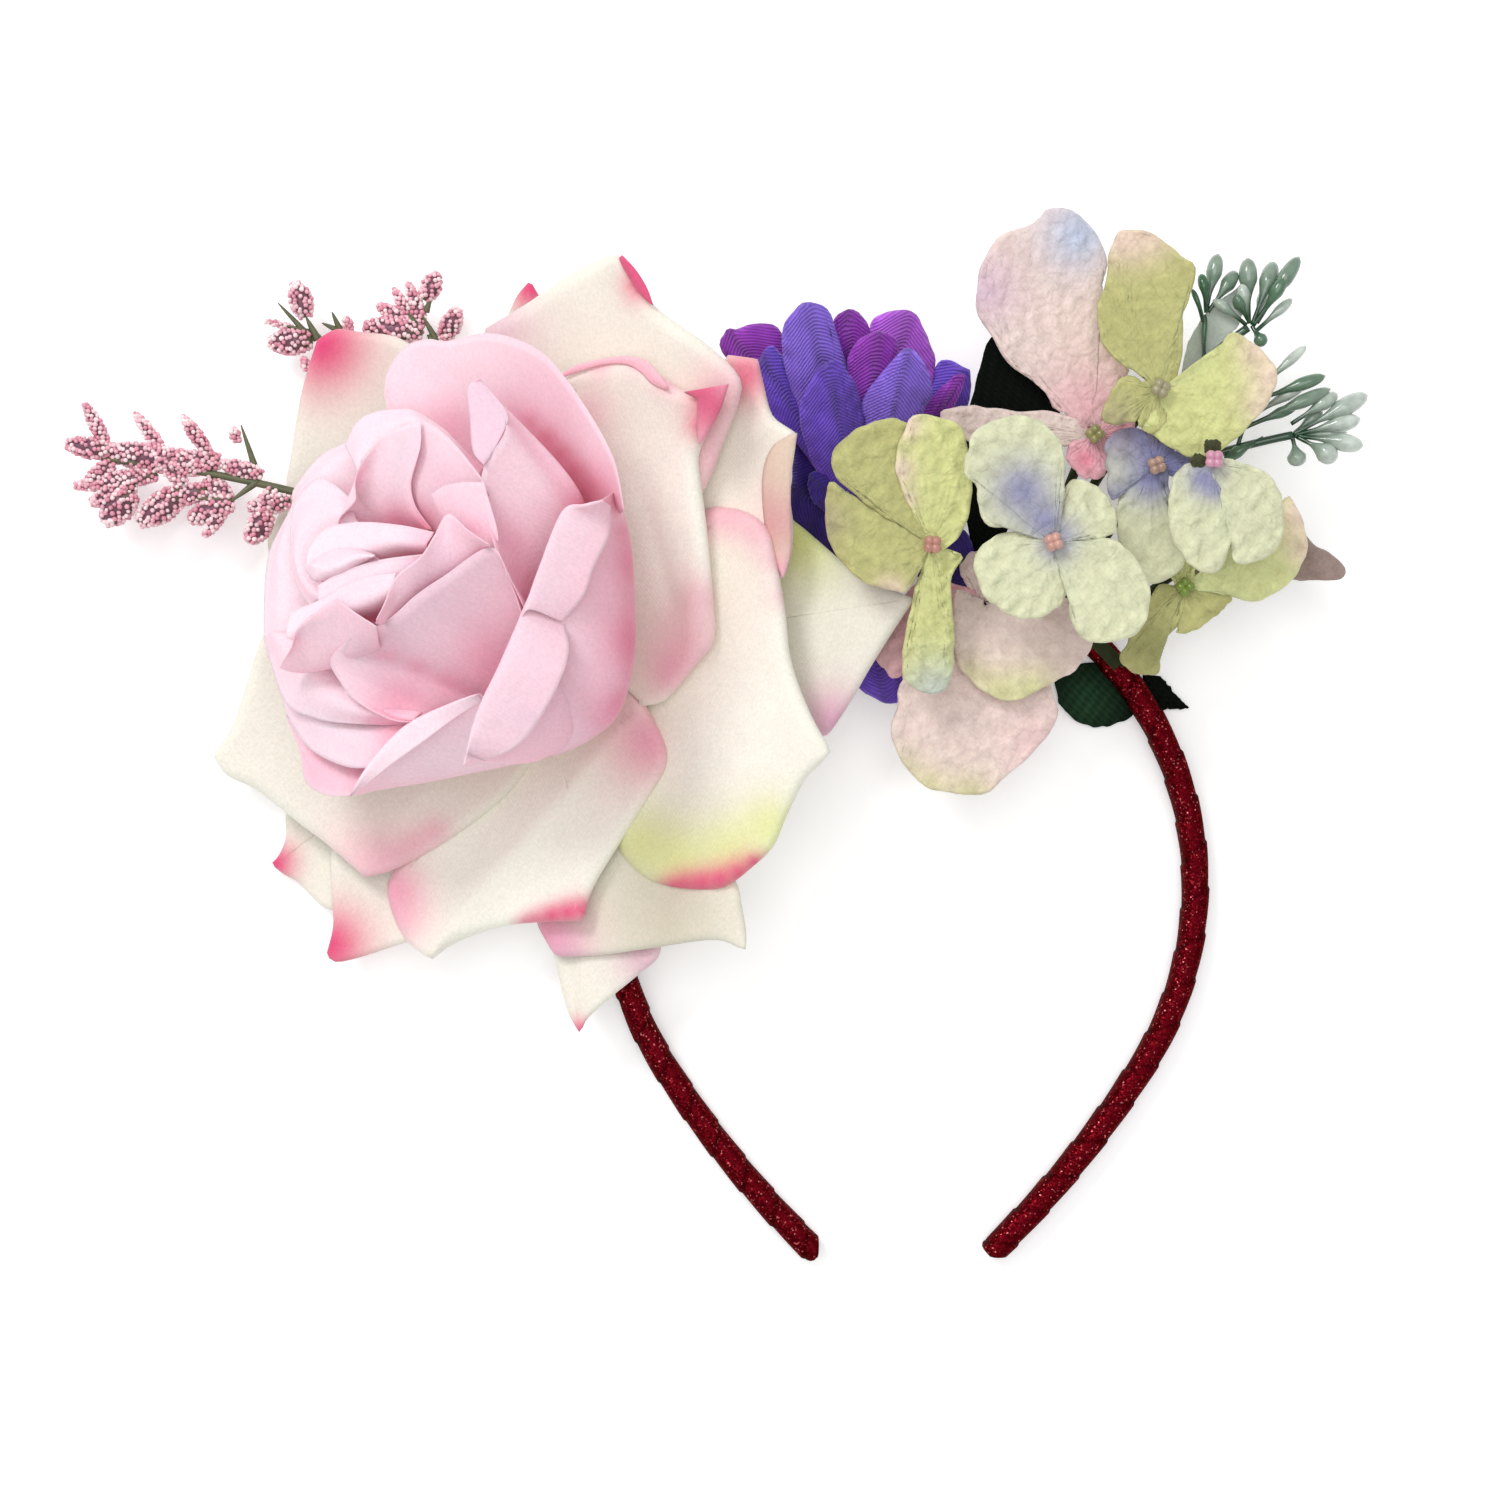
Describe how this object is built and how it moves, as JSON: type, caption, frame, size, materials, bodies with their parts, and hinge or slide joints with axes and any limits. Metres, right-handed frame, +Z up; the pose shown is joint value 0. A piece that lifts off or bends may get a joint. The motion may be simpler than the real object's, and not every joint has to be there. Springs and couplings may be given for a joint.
{
  "type": "flower headband",
  "caption": "Headband bow wrapped in glitter ribbon, dressed with a large silk rose, hydrangea florets, a purple flower, leaves and sprigs; worn over the head with the flowers to one side.",
  "frame": {"origin": "middle of the hoop's crown, on its flat back", "axes": "+Z up out of the flowers' faces, +X towards the wearer's hydrangea side, the hoop opens towards -Y"},
  "size_m": [0.2524, 0.2017, 0.0716],
  "materials": {
    "glitter_ribbon": "dark red glitter ribbon wound at a slant",
    "cream_silk": "woven silk, cream with dyed pink edges",
    "pink_silk": "woven silk, light pink to deep pink",
    "green_stem": "dull green moulded stem",
    "floret_green": "crinkled pale green cloth",
    "floret_blush": "crinkled pink cloth",
    "floret_taupe": "crinkled taupe cloth",
    "floret_bead": "small glossy bead",
    "purple_ribbed": "ribbed violet cloth with magenta and blue shades",
    "leaf_cloth": "very dark green woven cloth",
    "blossom": "tiny pink blossom on mauve spikes",
    "frost_plastic": "glossy green plastic frosted white at the tips"
  },
  "bodies": {
    "root": {"hoop": "glitter_ribbon", "rose_skirt_tube": "cream_silk", "rose_skirt_left": "cream_silk", "rose_skirt_bottom_centre": "cream_silk", "rose_skirt_top": "cream_silk", "rose_skirt_upper_left": "cream_silk", "rose_skirt_lower_right": "cream_silk", "rose_skirt_corner_low": "cream_silk", "rose_skirt_far_left": "cream_silk", "rose_skirt_top_back": "cream_silk", "rose_skirt_upper_right": "cream_silk", "rose_skirt_bottom": "cream_silk", "rose_skirt_corner_left": "cream_silk", "rose_skirt_right": "cream_silk", "rose_skirt_bottom_tip": "cream_silk", "rose_bud_crest": "pink_silk", "rose_bud_flank_upper": "pink_silk", "rose_bud_flank_lower": "pink_silk", "rose_bud_chin": "pink_silk", "rose_bud_cheek_low": "pink_silk", "rose_bud_cheek_high": "pink_silk", "rose_bud_brow_right": "pink_silk", "rose_bud_brow_left": "pink_silk", "rose_bud_jaw_left": "pink_silk", "rose_bud_jaw_right": "pink_silk", "rose_bud_scoop": "pink_silk", "rose_bud_fold_top": "pink_silk", "rose_bud_fold_left": "pink_silk", "rose_bud_swirl_low": "pink_silk", "rose_bud_swirl_high": "pink_silk", "rose_bud_heart": "pink_silk", "rose_post": "green_stem", "floret_left_green": "floret_green", "bead_left_green": "floret_bead", "floret_front_pale": "floret_green", "bead_front_pale": "floret_bead", "floret_back_pink": "floret_blush", "bead_back_pink": "floret_bead", "floret_upper_green": "floret_green", "bead_upper_green": "floret_bead", "floret_right_pale": "floret_green", "bead_right_pale": "floret_bead", "floret_violet_back": "floret_blush", "bead_violet_back": "floret_bead", "floret_lower_right": "floret_green", "bead_lower_right": "floret_bead", "floret_lower_pink": "floret_blush", "floret_far_taupe": "floret_taupe", "purple_outer": "purple_ribbed", "purple_middle": "purple_ribbed", "purple_inner": "purple_ribbed", "hydrangea_stems": "green_stem", "leaf_upper_1": "leaf_cloth", "leaf_lower_1": "leaf_cloth", "leaf_lower_2": "leaf_cloth", "pink_sprig_plume": "blossom", "pink_sprig_left_tuft": "blossom", "pink_sprig_top_tuft": "blossom", "frost_sprig_upper": "frost_plastic", "frost_sprig_right": "frost_plastic"}
  },
  "joints": []
}
